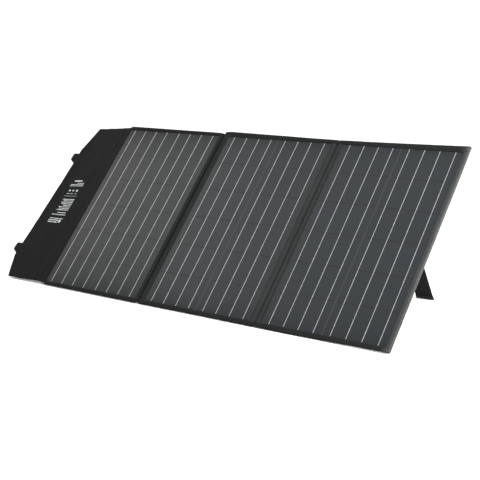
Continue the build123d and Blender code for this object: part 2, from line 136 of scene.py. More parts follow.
class Nodes:
    """A new material with a plain shader, and short ways to add nodes to it."""

    def __init__(self, name, color, roughness, specular=0.5, metallic=0.0):
        material = bpy.data.materials.new(name)
        material.use_nodes = True
        materials[name] = material
        self.tree = material.node_tree
        self.shader = self.tree.nodes["Principled BSDF"]
        self.drive("Base Color", color)
        self.drive("Roughness", roughness)
        self.drive("Specular IOR Level", specular)
        self.drive("Metallic", metallic)

    def add(self, kind, output, **values):
        """A node's output, with values for its sockets and its own settings."""
        node = self.tree.nodes.new(kind)
        for name, value in values.items():
            if name in node.inputs:
                self.feed(value, node.inputs[name])
            else:
                setattr(node, name, value)
        return node.outputs[output]

    def feed(self, value, socket):
        """A number, a colour or another node's output goes into a socket."""
        if isinstance(value, bpy.types.NodeSocket):
            self.tree.links.new(value, socket)
        elif isinstance(value, tuple):
            socket.default_value = (*value, 1)
        else:
            socket.default_value = value

    def drive(self, name, value):
        """A value goes into one of the shader's own sockets."""
        self.feed(value, self.shader.inputs[name])

    def sheet_coordinates(self):
        """The CAD nodes' own coordinates, turned so that x and y lie in the sheet."""
        turn = {"rotation_type": "X_AXIS", "Angle": -math.atan2(up.z, up.y)}
        vector = self.add("ShaderNodeTexCoord", "Object")
        return self.add("ShaderNodeVectorRotate", "Vector", Vector=vector, **turn)

    def split(self, vector):
        """A vector's three numbers, by axis."""
        node = self.tree.nodes.new("ShaderNodeSeparateXYZ")
        self.feed(vector, node.inputs[0])
        return node.outputs

    def noise(self, vector, scale, detail):
        sizes = {"Scale": scale, "Detail": detail, "Roughness": NOISE_ROUGHNESS}
        return self.add("ShaderNodeTexNoise", "Fac", Vector=vector, **sizes)

    def bands(self, vector, direction, pitch, distortion=0.0):
        """Waves across a direction, a pitch in metres apart."""
        sizes = {"Scale": math.tau / pitch / WAVE_SCALE, "Detail": 0, "Distortion": distortion}
        return self.add("ShaderNodeTexWave", "Fac", Vector=vector, bands_direction=direction, **sizes)

    def math(self, operation, first, second=0):
        node = self.tree.nodes.new("ShaderNodeMath")
        node.operation = operation
        self.feed(first, node.inputs[0])
        self.feed(second, node.inputs[1])
        return node.outputs[0]

    def total(self, *terms):
        """The sum of some values, each times its own weight."""
        parts = [self.math("MULTIPLY", value, weight) for value, weight in terms]
        result = parts[0]
        for part in parts[1:]:
            result = self.math("ADD", result, part)
        return result

    def spread(self, value, low, high, to_low, to_high):
        """A value from low to high, spread between two others."""
        limits = {"From Min": low, "From Max": high, "To Min": to_low, "To Max": to_high}
        return self.add("ShaderNodeMapRange", "Result", Value=value, **limits)

    def mix(self, factor, first, second, blend="MIX"):
        node = self.tree.nodes.new("ShaderNodeMix")
        node.data_type = "RGBA"
        node.blend_type = blend
        for value, index in ((factor, 0), (first, 6), (second, 7)):
            self.feed(value, node.inputs[index])
        return node.outputs[2]

    def ramp(self, value, low, high, low_color, high_color):
        """A colour between two, as a value goes from low to high."""
        return self.mix(self.spread(value, low, high, 0, 1), low_color, high_color)

    def painted_rim_shadow(self, axes):
        """A painted shadow on the film: 1 in the window's middle, and less towards its top and bottom,
        where the frame's edge would shade it.
        """
        away = self.math("ABSOLUTE", self.math("SUBTRACT", axes["Y"], array_middle))
        inside = self.math("SUBTRACT", (window_top - window_bottom) / 2 * MM, away)
        reach, dark = (self.spread(axes["X"], *limits) for limits in (RIM_SHADOW_REACH, RIM_SHADOW_DEPTH))
        fall = self.math("EXPONENT", self.math("MULTIPLY", self.math("DIVIDE", inside, reach), -1.0))
        return self.math("SUBTRACT", 1.0, self.math("MULTIPLY", fall, dark))

    def bump(self, height, strength, distance):
        sizes = {"Strength": strength, "Distance": distance}
        self.drive("Normal", self.add("ShaderNodeBump", "Normal", Height=height, **sizes))


def scaled(color, factor):
    return tuple(channel * factor for channel in color)


THREAD_WANDER = 0.4
SHEEN = 0.012


def woven(name, color, pitch, contrast=0.35, ribs=0.0, on_cad=False, painted_light=()):
    """Woven polyester: warp and weft threads, slubs, faded patches and a soft sheen.

    The ramps of painted light give where along the row the fabric is painted lighter, a painted highlight
    where the lamps catch it, and by how much.
    """
    nodes = Nodes(name, color, 0.86, specular=0.06)
    vector = nodes.sheet_coordinates() if on_cad else nodes.add("ShaderNodeTexCoord", "UV")
    warp = nodes.bands(vector, "X", pitch, THREAD_WANDER)
    weft = nodes.bands(vector, "Y", pitch * (1 + ribs), THREAD_WANDER)
    threads = nodes.math("MULTIPLY", nodes.math("ADD", warp, weft), 0.5)
    slubs = nodes.noise(vector, 900, 2)
    fading = nodes.noise(vector, 14, 4)
    shade = nodes.total((threads, 0.5), (slubs, 0.3), (fading, 0.5))
    tint = nodes.ramp(shade, 0.35, 0.95, scaled(color, 1 - contrast), scaled(color, 1 + contrast))
    # Painted highlight: the colour is made lighter over stretches of the row, in place of light from the
    # lamps.
    for start, end, factor in painted_light:
        row_x = nodes.split(nodes.add("ShaderNodeTexCoord", "Object"))["X"]
        lit_ramp = nodes.ramp(row_x, start, end, (1, 1, 1), (factor, factor, factor))
        tint = nodes.mix(1.0, tint, lit_ramp, "MULTIPLY")
    nodes.drive("Base Color", tint)
    nodes.drive("Roughness", nodes.spread(fading, 0, 1, 0.78, 0.94))
    nodes.bump(nodes.total((threads, 1), (slubs, 0.5)), 0.35, 0.0003)
    nodes.drive("Sheen Weight", SHEEN)
    nodes.drive("Sheen Roughness", 0.5)


def moulded(name, color, roughness=0.5, grain=1500, strength=0.15):
    """Moulded plastic or rubber, with a fine grain and a little wear."""
    nodes = Nodes(name, color, roughness, specular=0.4)
    vector = nodes.sheet_coordinates()
    wear = nodes.noise(vector, 60, 4)
    nodes.drive("Base Color", nodes.ramp(wear, 0.3, 0.75, scaled(color, 0.8), scaled(color, 1.5)))
    nodes.drive("Roughness", nodes.spread(wear, 0, 1, roughness - 0.1, roughness + 0.12))
    nodes.bump(nodes.noise(vector, grain, 2), strength, 0.0002)


def metal(name, color, roughness):
    """Plated metal, brushed, with dulled patches."""
    nodes = Nodes(name, color, roughness, metallic=1.0)
    dull = nodes.noise(nodes.sheet_coordinates(), 500, 3)
    nodes.drive("Base Color", nodes.ramp(dull, 0.3, 0.7, scaled(color, 0.8), color))
    nodes.drive("Roughness", nodes.spread(dull, 0, 1, roughness - 0.1, roughness + 0.15))
    nodes.bump(dull, 0.1, 0.0001)


# The film over the cells: how its painted reflection and its painted rim shadow go along the row, in metres
PAINTED_REFLECTION_REACH = (-0.40, 0.12)
RIM_SHADOW_REACH = (-0.30, 0.0, 0.055, 0.025)
RIM_SHADOW_DEPTH = (-0.30, 0.45, 0.42, 0.22)
FILM_SHINE = 0.21
FILM_TOOTH = (0.25, 0.00025)
CELL_ROWS = 6
ROW_GAP = 2.6
WAFER_EDGE = 0.0014
WAFER_LINE = 0.0008
column_pitch = (middles["right"] - middles["centre"]) * MM / 2
row_pitch = (window_top - window_bottom - 2 * WINDOW_MARGIN + ROW_GAP) * MM / CELL_ROWS
array_middle = (window_top + window_bottom) / 2 * MM + sheet_origin.dot(up)


def make_cell_film():
    """Silicon under a textured clear film: fine fingers across the ribbons, and a shade a cell."""
    nodes = Nodes("cell_film", (0.0185, 0.0200, 0.0210), 0.46, specular=FILM_SHINE)
    vector = nodes.sheet_coordinates()
    axes = nodes.split(vector)
    home = {}
    for axis, pitch, start in (("X", column_pitch, sheet_origin.x), ("Y", row_pitch, array_middle)):
        moved = nodes.math("SUBTRACT", axes[axis], start)
        home[axis] = nodes.math("FLOOR", nodes.math("DIVIDE", moved, pitch))
    home = nodes.add("ShaderNodeCombineXYZ", "Vector", **home)
    cell = nodes.add("ShaderNodeTexWhiteNoise", "Value", noise_dimensions="2D", Vector=home)
    fingers = nodes.bands(vector, "Y", 0.0018)
    streaks = nodes.bands(vector, "X", 0.0052, 1.5)
    blotches = nodes.noise(vector, 9, 3)
    tooth = nodes.noise(vector, 1100, 2)
    shade = nodes.total((cell, 0.16), (blotches, 0.5), (fingers, 0.18), (streaks, 0.16), (tooth, 0.22))
    # Lighter and warmer towards the left end of the row, bluer to the right: a painted reflection of the
    # warm left light on the film.
    dark = nodes.ramp(axes["X"], *PAINTED_REFLECTION_REACH, (0.0150, 0.0163, 0.0157), (0.0086, 0.0111, 0.0131))
    light = nodes.ramp(axes["X"], *PAINTED_REFLECTION_REACH, (0.0208, 0.0224, 0.0216), (0.0126, 0.0161, 0.0187))
    # Painted rim shadow: it darkens the film's colour and its shine towards the window's top and bottom.
    rim = nodes.painted_rim_shadow(axes)
    nodes.drive("Base Color", nodes.mix(1.0, nodes.ramp(shade, 0.25, 1.05, dark, light), rim, "MULTIPLY"))
    nodes.drive("Specular IOR Level", nodes.math("MULTIPLY", rim, FILM_SHINE))
    nodes.drive("Roughness", nodes.spread(blotches, 0, 1, 0.40, 0.54))
    nodes.bump(tooth, *FILM_TOOTH)


def make_laminate_sheet():
    """The backing sheet between the cells, under the same film, with the wafers' pale edges."""
    color = (0.0100, 0.0112, 0.0120)
    nodes = Nodes("laminate_sheet", color, 0.48, specular=FILM_SHINE)
    vector = nodes.sheet_coordinates()
    axes = nodes.split(vector)
    from_gap = nodes.math("PINGPONG", nodes.math("SUBTRACT", axes["X"], sheet_origin.x), column_pitch)
    from_edge = nodes.math("ABSOLUTE", nodes.math("SUBTRACT", from_gap, WAFER_EDGE))
    wafer_edge = nodes.math("LESS_THAN", from_edge, WAFER_LINE)
    patches = nodes.noise(vector, 25, 3)
    tint = nodes.ramp(patches, 0.3, 0.7, scaled(color, 0.88), scaled(color, 1.12))
    tint = nodes.mix(wafer_edge, tint, scaled(color, 3.2))
    # The same painted rim shadow darkens the backing sheet towards the window's top and bottom.
    nodes.drive("Base Color", nodes.mix(1.0, tint, nodes.painted_rim_shadow(axes), "MULTIPLY"))
    nodes.bump(nodes.noise(vector, 1100, 2), *FILM_TOOTH)


def make_ribbon_metal():
    """Tinned ribbon under the film, bright in places and dulled in others."""
    nodes = Nodes("ribbon_metal", (0.50, 0.51, 0.50), 0.42, specular=0.4, metallic=0.25)
    dull = nodes.noise(nodes.sheet_coordinates(), 130, 3)
    nodes.drive("Base Color", nodes.ramp(dull, 0.3, 0.7, (0.186, 0.198, 0.199), (0.306, 0.320, 0.322)))
    nodes.drive("Roughness", nodes.spread(dull, 0, 1, 0.34, 0.52))
    nodes.bump(dull, 0.2, 0.0001)


# Painted highlight along the row: the cover fabric and the tape are painted lighter towards the right, and
# the tape more at its outer right edge, as if lit from the right.
COVER_PAINTED_LIGHT = ((-0.10, 0.26, 2.0),)
TAPE_PAINTED_LIGHT = ((-0.25, 0.55, 1.5), (0.588, 0.598, 2.6))
woven("cover_fabric", (0.0125, 0.013, 0.013), 0.0011, painted_light=COVER_PAINTED_LIGHT)
woven("binding_tape", (0.0088, 0.0092, 0.0092), 0.0014, ribs=0.8, painted_light=TAPE_PAINTED_LIGHT)
woven("flap_fabric", (0.0062, 0.0068, 0.0065), 0.0011)
woven("leg_fabric", (0.0082, 0.0083, 0.0085), 0.0011)
woven("webbing", (0.0075, 0.0078, 0.008), 0.0016, ribs=1.0)
woven("hook_and_loop", (0.008, 0.008, 0.0085), 0.0022, contrast=0.6, on_cad=True)
woven("thread", (0.020, 0.021, 0.021), 0.0006)
make_cell_film()
make_laminate_sheet()
make_ribbon_metal()
moulded("stiffener_board", (0.10, 0.10, 0.10), 0.8)
moulded("leg_core", (0.08, 0.08, 0.08), 0.7)
moulded("foot_rubber", (0.004, 0.004, 0.004), 0.75, 900, 0.3)
moulded("box_plastic", (0.010, 0.010, 0.0105), 0.5)
moulded("gasket_rubber", (0.05, 0.05, 0.05), 0.8)
moulded("circuit_laminate", (0.02, 0.12, 0.05), 0.4, 400, 0.1)
moulded("diode_body", (0.02, 0.02, 0.02), 0.35)
moulded("gland_plastic", (0.009, 0.009, 0.009), 0.4)
moulded("print_ink", (0.34, 0.355, 0.355), 0.6, 700, 0.1)
metal("screw_steel", (0.55, 0.55, 0.54), 0.35)
metal("terminal_brass", (0.72, 0.55, 0.25), 0.35)
slots = {part["node"]: part["material_slot"] for part in frame["record"]["subparts"]}
for node, cad_object in frame["nodes"].items():
    cad_object.data.materials.clear()
    cad_object.data.materials.append(materials[slots[node]])


def round_edges(node, radius):
    """A CAD node's sharp edges are shown rounded."""
    bevel = frame["nodes"][node].modifiers.new("edges", "BEVEL")
    bevel.width = radius * MM
    bevel.segments = 2
    bevel.limit_method = "ANGLE"


ROUNDED = {"junction_base": 0.5, "junction_lid": 0.4, "gland_body": 0.3, "gland_nut": 0.4}
ROUNDED |= {"junction_screws": 0.15, **{f"leg_foot_{side}": 0.5 for side in SIDES}}
for node, radius in ROUNDED.items():
    round_edges(node, radius)


# Building pieces


def piece(name, points, faces, flat, material):
    """A mesh piece from points in the row frame. flat gives each face corner's flat place."""
    mesh = bpy.data.meshes.new(name)
    mesh.from_pydata(points, [], faces)
    layer = mesh.uv_layers.new(name="flat")
    for polygon, corners in zip(mesh.polygons, flat):
        for loop, corner in zip(polygon.loop_indices, corners):
            layer.data[loop].uv = (corner[0] * MM, corner[1] * MM)
    work = bmesh.new()
    work.from_mesh(mesh)
    bmesh.ops.remove_doubles(work, verts=work.verts, dist=1e-6)
    bmesh.ops.dissolve_degenerate(work, edges=work.edges, dist=1e-7)
    bmesh.ops.recalc_face_normals(work, faces=work.faces)
    work.to_mesh(mesh)
    work.free()
    mesh.materials.append(materials[material])
    mesh.polygons.foreach_set("use_smooth", [True] * len(mesh.polygons))
    made = bpy.data.objects.new(name, mesh)
    bpy.context.scene.collection.objects.link(made)
    return made


def skin(parts, rings, flat, closed=True, capped=True):
    """A skin over rings of points is added to a mesh's parts: points, faces and flat corners."""
    points, faces, corners = parts
    first, count, last = len(points), len(rings[0]), len(rings) - 1
    points += [point for ring in rings for point in ring]
    for i in range(last):
        here, beyond = first + i * count, first + (i + 1) * count
        for j in range(count if closed else count - 1):
            k = (j + 1) % count
            faces.append((here + j, here + k, beyond + k, beyond + j))
            corners.append((flat(i, j), flat(i, j + 1), flat(i + 1, j + 1), flat(i + 1, j)))
    for i in (0, last) if capped else ():
        faces.append(tuple(first + i * count + j for j in range(count)))
        corners.append(tuple(flat(i, j) for j in range(count)))


def loft(name, rings, material, flat=None, closed=True):
    """A piece with a skin through rings of sheet places. flat(i, j) is a point's flat place."""
    parts = ([], [], [])
    flat = flat or (lambda i, j: rings[i][j % len(rings[i])][:2])
    placed = [[place(*spot) for spot in ring] for ring in rings]
    skin(parts, placed, flat, closed, closed)
    return piece(name, *parts, material)


def steps(low, high, most):
    """Places from low to high, no further apart than most."""
    count = max(1, math.ceil(abs(high - low) / most))
    return [low + (high - low) * i / count for i in range(count + 1)]


def along(stations, x):
    """A height read off a profile's stations, with straight runs between them."""
    if x <= stations[0][0]:
        return stations[0][1]
    for (x0, h0), (x1, h1) in zip(stations, stations[1:]):
        if x <= x1:
            t = (x - x0) / (x1 - x0)
            return h0 + (h1 - h0) * t
    return stations[-1][1]


def ripple(x, y, size, seed=0.0):
    """A smooth random wave, about 1 high, with features of a size."""
    return noise.noise(Vector((x / size, y / size, seed)))


def end_round(distance, radius):
    """How much of its thickness a rounded end keeps at a distance from its tip."""
    t = min(1.0, max(0.0, distance / radius))
    return math.sqrt(1 - (1 - t) ** 2)


STITCH = 3.4
STITCH_GAP = 1.1
STITCH_LIFT = 0.35
RING_FLAT = 0.7
THREAD = 0.42
STITCH_RINGS = ((0.0, -0.45, 0.6), (0.2, 0.0, 1.0), (0.5, 0.1, 1.0), (0.8, 0.0, 1.0), (1.0, -0.45, 0.6))
THREAD_SIDES = 5
TOWARDS_FRONT = Vector((0, 0, 1))
TOWARDS_BACK = Vector((0, 0, -1))


def evenly(run, lengths, distance):
    """The point at a distance along a run of points."""
    for (a, b), (start, end) in zip(zip(run, run[1:]), zip(lengths, lengths[1:])):
        if distance <= end:
            return a.lerp(b, (distance - start) / max(1e-9, end - start))
    return run[-1].copy()


def stitch(begin, finish, normal):
    """The rings of one stitch of thread, from one place on the sheet to another."""
    way = (finish - begin).normalized()
    sideways = way.cross(normal).normalized()
    rings = []
    for t, lift, thick in STITCH_RINGS:
        middle = begin.lerp(finish, t) + normal * (THREAD * STITCH_LIFT + lift * THREAD)
        ring = []
        for j in range(THREAD_SIDES):
            angle = math.tau * j / THREAD_SIDES
            around = sideways * math.cos(angle) + normal * math.sin(angle)
            ring.append(place(*(middle + around * THREAD * 0.5 * thick)))
        rings.append(ring)
    return rings


def sew(name, rows, body=None):
    """Rows of stitches. A row is its points on the fabric and the way that the fabric faces."""
    parts = ([], [], [])
    for row, normal in rows:
        run = [Vector(p) for p in row]
        lengths = [0.0]
        for a, b in zip(run, run[1:]):
            lengths.append(lengths[-1] + (b - a).length)
        count = max(1, int((lengths[-1] + STITCH_GAP) / (STITCH + STITCH_GAP)))
        pitch = (lengths[-1] + STITCH_GAP) / count
        for index in range(count):
            begin = evenly(run, lengths, index * pitch)
            finish = evenly(run, lengths, index * pitch + pitch - STITCH_GAP)
            skin(parts, stitch(begin, finish, normal), lambda i, j: (j, i * RING_FLAT))
    made = piece(name, *parts, "thread")
    if body:
        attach(made, body)
    return made



# The flap's fabric: it hangs back a little towards its top, and it has soft wrinkles

FLAP_TOP = 258.3
FLAP_BOTTOM = -261.0
FLAP_ENDS = (FLAP_BOTTOM, FLAP_TOP)
FLAP_RISE = 1.7
RISE_LONG = 40.0
SAG_START = left_window - 1.0
SAG_REACH = 141.0
SAG_BOTTOM = -200.0
SAG_LEAST = 1.0
SAG_DEEP = 31.0
SAG_EASE = 0.39
SAG_CURVE = 1.2


def share(value):
    """A value held between 0 and 1."""
    return min(1.0, max(0.0, value))


def sag(x, y):
    """How far the flap and its gusset hang back at a place, from the left panel's edge on."""
    reach = share((SAG_START - x) / SAG_REACH)
    high = share((y - SAG_BOTTOM) / (FLAP_TOP - SAG_BOTTOM))
    full = SAG_LEAST + SAG_DEEP * high * (1 - SAG_EASE * high)
    return -full * (1 - (1 - reach) ** SAG_CURVE)


def wrinkle(x, y):
    """The flap's wrinkles, which fade out at the left panel's window."""
    soft = 0.9 * ripple(x * 1.6, y * 0.5, 46, 3.0) + 0.5 * ripple(x, y, 24, 8.0)
    return share((left_window - 6 - x) / 18) * soft


def hang(x, y):
    """The flap's sag and wrinkles together."""
    return sag(x, y) + wrinkle(x, y)


# The folds' fabric

SEAM_SINK = 0.3
SEAM_HALF = 0.9
TUCK = 0.6
TUCK_REACH = 3
END_STEPS = (0.0, 0.6, 1.4, 2.6, 4.5)
END_THIN = 0.25
HALF_ZONE = 4.75
BOARD_EDGE = 11.75
LIP = 0.9
FOLD_BOTTOM = -264.5
rear = back_face - 0.15
crease = right_x + 0.2
groove = outer_x + HALF_ZONE
spine_split = groove + 4.3
gusset_middle = (gusset_x + flap_x) / 2
left_lip = left_window + 2.4
flap_start = flap_x - 9
FLAP_FACE = 0.6
FLAP_REAR = -2.6


def blend_along(made, bodies, start, end):
    """A piece's placement is baked into its mesh; it is not blended between the two bodies."""
    place(start, 0, 0)
    place(end, 0, 0)
    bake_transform(made)


def near(x, *points):
    """Points of a profile, given from a place along the row: (how far on, height)."""
    return [(x + away, height) for away, height in points]


def fold_piece(
    name, front, back, bottom, top, bodies, zone, shift=None, nodes=(), seams=(), material="cover_fabric"
):
    """A fold's fabric, front and back. Profiles are (x, height)."""
    low, high = front[0][0], front[-1][0]
    xs = {x for x, _ in front + back} | set(steps(low, high, 2.0))
    for seam in seams:
        xs |= {seam - SEAM_HALF, seam, seam + SEAM_HALF}
    xs = [x for x in sorted(xs) if low - 1e-6 <= x <= high + 1e-6]
    rings = []
    rows = [[] for _ in seams]
    ys = [bottom + e for e in END_STEPS] + steps(bottom + 8, top - 8, 7)
    ys += [top - e for e in reversed(END_STEPS)]
    for y in ys:
        keep = END_THIN + (1 - END_THIN) * end_round(min(y - bottom, top - y), END_STEPS[-1])
        tuck = TUCK * share((max(y - window_top, window_bottom - y) + 2) / TUCK_REACH)
        ring = []
        for profile, order in ((front, xs), (back, reversed(xs))):
            for x in order:
                centre = (along(front, x) + along(back, x)) / 2
                height = centre + (along(profile, x) - centre) * keep
                if shift:
                    height += shift(x, y)
                else:
                    height += 0.25 * ripple(x * 2, y, 38, len(name))
                    height -= tuck if profile is front else 0.0
                if profile is front and x in seams:
                    height -= SEAM_SINK
                    rows[seams.index(x)].append((x, y, height))
                ring.append((x, y, height))
        rings.append(ring)
    made = loft(name, rings, material)
    blend_along(made, bodies, *zone)
    if nodes:
        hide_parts(*nodes)
    if seams:
        thread = sew(f"seam_{name}", [(row[2:-2], TOWARDS_FRONT) for row in rows])
        blend_along(thread, bodies, *zone)


fold_piece(
    "fold_right",
    near(right_window, (0, -0.3), (0.5, LIP), (3, LIP + 0.5))
    + near(crease, (-9, LIP + 0.3), (-4.5, 0.6), (-1.8, -1.4), (0, -3.4), (1.6, -1.3), (4.5, 0.6), (9, 1.2))
    + near(next_window, (-3.9, 1.1), (-2.7, -2.2), (-1.5, -2.2), (-0.7, LIP), (0, -0.3)),
    near(right_window, (0, rear))
    + near(right_x, (-BOARD_EDGE, rear), (-8, rear + 1.0), (-1, -4.6), (1, -4.6), (8, rear + 1.0))
    + [(right_x + BOARD_EDGE, rear), (next_window, rear)],
    FOLD_BOTTOM,
    260.5,
    bodies=("centre_panel", "right_panel"),
    zone=(right_x - BOARD_EDGE, right_x + BOARD_EDGE),
    nodes=("front_cover_right",),
    seams=(right_window + 3.4, next_window - 6.0),
)
fold_piece(
    "fold_spine",
    [(spine_split, 0.8), (inner_x, 0.6), (inner_x + 2, 0.8)]
    + near(centre_window, (-2, LIP + 0.2), (-0.5, LIP), (0, -0.3)),
    [(spine_split, -1.7)]
    + near(inner_x, (-2, -1.8), (0, -2.4), (HALF_ZONE, rear))
    + [(centre_window, rear)],
    FOLD_BOTTOM,
    262.5,
    bodies=("centre_panel", "left_spine"),
    zone=(inner_x + HALF_ZONE, inner_x - HALF_ZONE),
    nodes=("front_cover_centre", "left_fold_strip"),
    seams=(centre_window - 3.4,),
)
fold_piece(
    "fold_left",
    near(last_window, (0, -0.3), (0.5, LIP), (2, LIP + 0.2))
    + near(groove, (-5.4, 0.8), (-3.6, 0.2), (-2.2, -3.2), (-0.4, -4.9), (1.4, -4.2), (2.6, -0.6))
    + [(spine_split, 0.8)],
    [(last_window, rear), (outer_x - HALF_ZONE, rear)]
    + near(groove, (-2.2, -5.9), (1.4, -5.6), (3.4, -2.4))
    + [(spine_split, -1.7)],
    FOLD_BOTTOM,
    259.5,
    bodies=("left_panel", "left_spine"),
    zone=(outer_x - HALF_ZONE, outer_x + HALF_ZONE),
    seams=(last_window + 3.4,),
)
fold_piece(
    "fold_gusset",
    [(gusset_middle, FLAP_FACE + 0.2)]
    + near(gusset_x, (-4, FLAP_FACE), (0, 0.1), (4, FLAP_FACE))
    + near(left_lip, (-7, LIP), (-0.5, LIP), (0, -0.3)),
    [(gusset_middle, -1.7)]
    + near(gusset_x, (-2, -1.9), (0, -3.0), (HALF_ZONE, rear))
    + [(left_lip, rear)],
    *FLAP_ENDS,
    material="flap_fabric",
    shift=hang,
    bodies=("left_panel", "gusset"),
    zone=(gusset_x + HALF_ZONE, gusset_x - HALF_ZONE),
    nodes=("front_cover_left", "flap_gusset"),
    seams=(left_lip - 3.4,),
)
fold_piece(
    "fold_flap",
    [(flap_start, FLAP_FACE)]
    + near(flap_x, (-4, FLAP_FACE), (0, 0.1), (4, FLAP_FACE))
    + [(gusset_middle, FLAP_FACE + 0.2)],
    [(flap_start, FLAP_REAR), (flap_x - 3, -2.2), (flap_x, -1.9), (gusset_middle, -1.7)],
    *FLAP_ENDS,
    material="flap_fabric",
    shift=hang,
    bodies=("gusset", "flap"),
    zone=(flap_x + HALF_ZONE, flap_x - HALF_ZONE),
)


# The flap

CORNER_TOP = 178.0
CORNER_BOTTOM = -195.0
CUT_TOP = 24.5
CUT_BOTTOM = 21.5
HEM = 8.5
HEM_HALF = 0.9
ROWS_BETWEEN = 64
RIM_STEPS = (0.0, 0.5, 1.4, 2.8, 4.5, 6.5, HEM - HEM_HALF, HEM, HEM + HEM_HALF, HEM + 2.5)
FLAP_CENTRE = (FLAP_FACE + FLAP_REAR) / 2
RIM_THIN = 0.2
SIDE_ROUND = 3.4
RIM_ROUND = 3.0


def flap_limits(x):
    """The flap's bottom and top at a place along the row: its outer corners are cut off."""
    above = max(0.0, (flap_edge + CUT_TOP - x) / CUT_TOP)
    below = max(0.0, (flap_edge + CUT_BOTTOM - x) / CUT_BOTTOM)
    rise = FLAP_RISE * share((flap_start - x) / RISE_LONG)
    top = FLAP_TOP + rise + (CORNER_TOP - FLAP_TOP - rise) * above
    low = FLAP_BOTTOM - rise
    bottom = low + (CORNER_BOTTOM - low) * below
    return bottom, top


def flap_height(x, y):
    """The flap's face, at a place on the sheet."""
    return FLAP_FACE + sag(x, y) + wrinkle(x, y)


def make_flap():
    """The flap's cover, over its stiffener, with a turned hem round the edge."""
    xs = steps(flap_start, flap_edge + CUT_TOP, 3)
    xs += steps(flap_edge + CUT_TOP, flap_edge + RIM_STEPS[-1], 3)[1:]
    xs += [flap_edge + rim for rim in reversed(RIM_STEPS[:-1])]
    rings = []
    for x in xs:
        bottom, top = flap_limits(x)
        low, high = bottom + HEM + 8, top - HEM - 8
        ys = [bottom + rim for rim in RIM_STEPS]
        ys += [low + (high - low) * i / ROWS_BETWEEN for i in range(ROWS_BETWEEN + 1)]
        ys += [top - rim for rim in reversed(RIM_STEPS)]
        side = end_round(x - flap_edge, SIDE_ROUND)
        ring = []
        for face, order in ((FLAP_FACE, ys), (FLAP_REAR, reversed(ys))):
            for y in order:
                rim = min(y - bottom, top - y, x - flap_edge)
                keep = RIM_THIN + (1 - RIM_THIN) * min(side, end_round(min(y - bottom, top - y), RIM_ROUND))
                hem = SEAM_SINK if abs(rim - HEM) < 0.01 else 0.0
                thick = (face - FLAP_CENTRE) * keep
                thick += -hem if face > FLAP_CENTRE else hem
                ring.append((x, y, FLAP_CENTRE + thick + sag(x, y) + wrinkle(x, y)))
        rings.append(ring)
    made = loft("flap_cover", rings, "flap_fabric")
    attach(made, "flap")
    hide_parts("flap_front", "flap_board", "flap_back")


def sew_flap():
    """The hem's stitches, round the flap's three free sides."""
    side_x = flap_edge + HEM
    line = [(x, flap_limits(x)[1] - HEM) for x in steps(flap_start + 3, side_x, 4)]
    low, high = (limit + sign * HEM for limit, sign in zip(flap_limits(side_x), (1, -1)))
    line += [(side_x, y) for y in steps(high, low, 4)[1:]]
    line += [(x, flap_limits(x)[0] + HEM) for x in steps(side_x, flap_start + 3, 4)[1:]]
    front = [(x, y, flap_height(x, y) - SEAM_SINK) for x, y in line]
    back = [(x, y, flap_height(x, y) - FLAP_FACE + FLAP_REAR + SEAM_SINK) for x, y in line]
    sew("seam_flap", [(front, TOWARDS_FRONT), (back, TOWARDS_BACK)], "flap")


make_flap()
sew_flap()


# The flap's print: plain bars and icons, in place of any words

INK = 0.12
PRINT_RIGHT = -577.0
PRINT_SEED = 11
WORD_GAP = 1.1
# Lines of print: y, how far in from the right its end is, its width, its height, a word's width
HEADING = ((68, 12, 33, 4.6, 9), (60, 0, 28, 2.2, 7), (55.4, 0, 53, 2.2, 7), (50.8, 0, 54, 2.2, 7))
WIDTHS = (48, 41, 47, 44, 31, 46, 42, 48)
PARAGRAPH = tuple((3 - 5.2 * i, 0, wide, 2.6, 7) for i, wide in enumerate(WIDTHS))
FOOTING = ((-43, 3, 35, 2.6, 7), (-50, 0, 56, 2.4, 7), (-63, 1, 52, 2.4, 9))
LAST_LINES = ((-69, 17, 37, 3.4, 12), (-75.5, 17, 36, 3.4, 12))
# Icons: y, how far in its middle is, its radius, how many sides it has (0 for a disc)
ICONS = ((34, 11, 4.0, 0), (34, 26.5, 4.0, 3), (34, 42, 4.0, 4))
LAST_ICON = (-71.5, 9, 5.6, 0)
RULE = (PRINT_RIGHT - 54, PRINT_RIGHT, 15, 0.8)


def ink_bar(low, high, y, tall):
    """A printed bar, as the rows of a strip that follows the flap's face."""
    return [[(x, y - tall / 2), (x, y + tall / 2)] for x in steps(low, high, 2.5)]


def printed_line(y, inward, wide, tall, word):
    """A line of bars of uneven length, like words, from its right end."""
    bars = []
    x = PRINT_RIGHT - inward
    left = x - wide
    while x > left + 1.5:
        long = min(word * random.uniform(0.45, 1.2), x - left)
        bars.append(ink_bar(x - long, x, y, tall))
        x -= long + WORD_GAP
    return bars


def icon(y, inward, radius, sides):
    """A plain printed shape, as rows from its left to its right."""
    strip = []
    for t in steps(-1, 1, 0.2):
        angle = math.acos(t)
        reach = 1.0
        if sides:
            corner = math.pi / sides
            reach = math.cos(corner) / math.cos(angle % (2 * corner) - corner)
        x = PRINT_RIGHT - inward + t * radius
        half = radius * reach * math.sin(angle)
        strip.append([(x, y - half), (x, y + half)])
    return strip


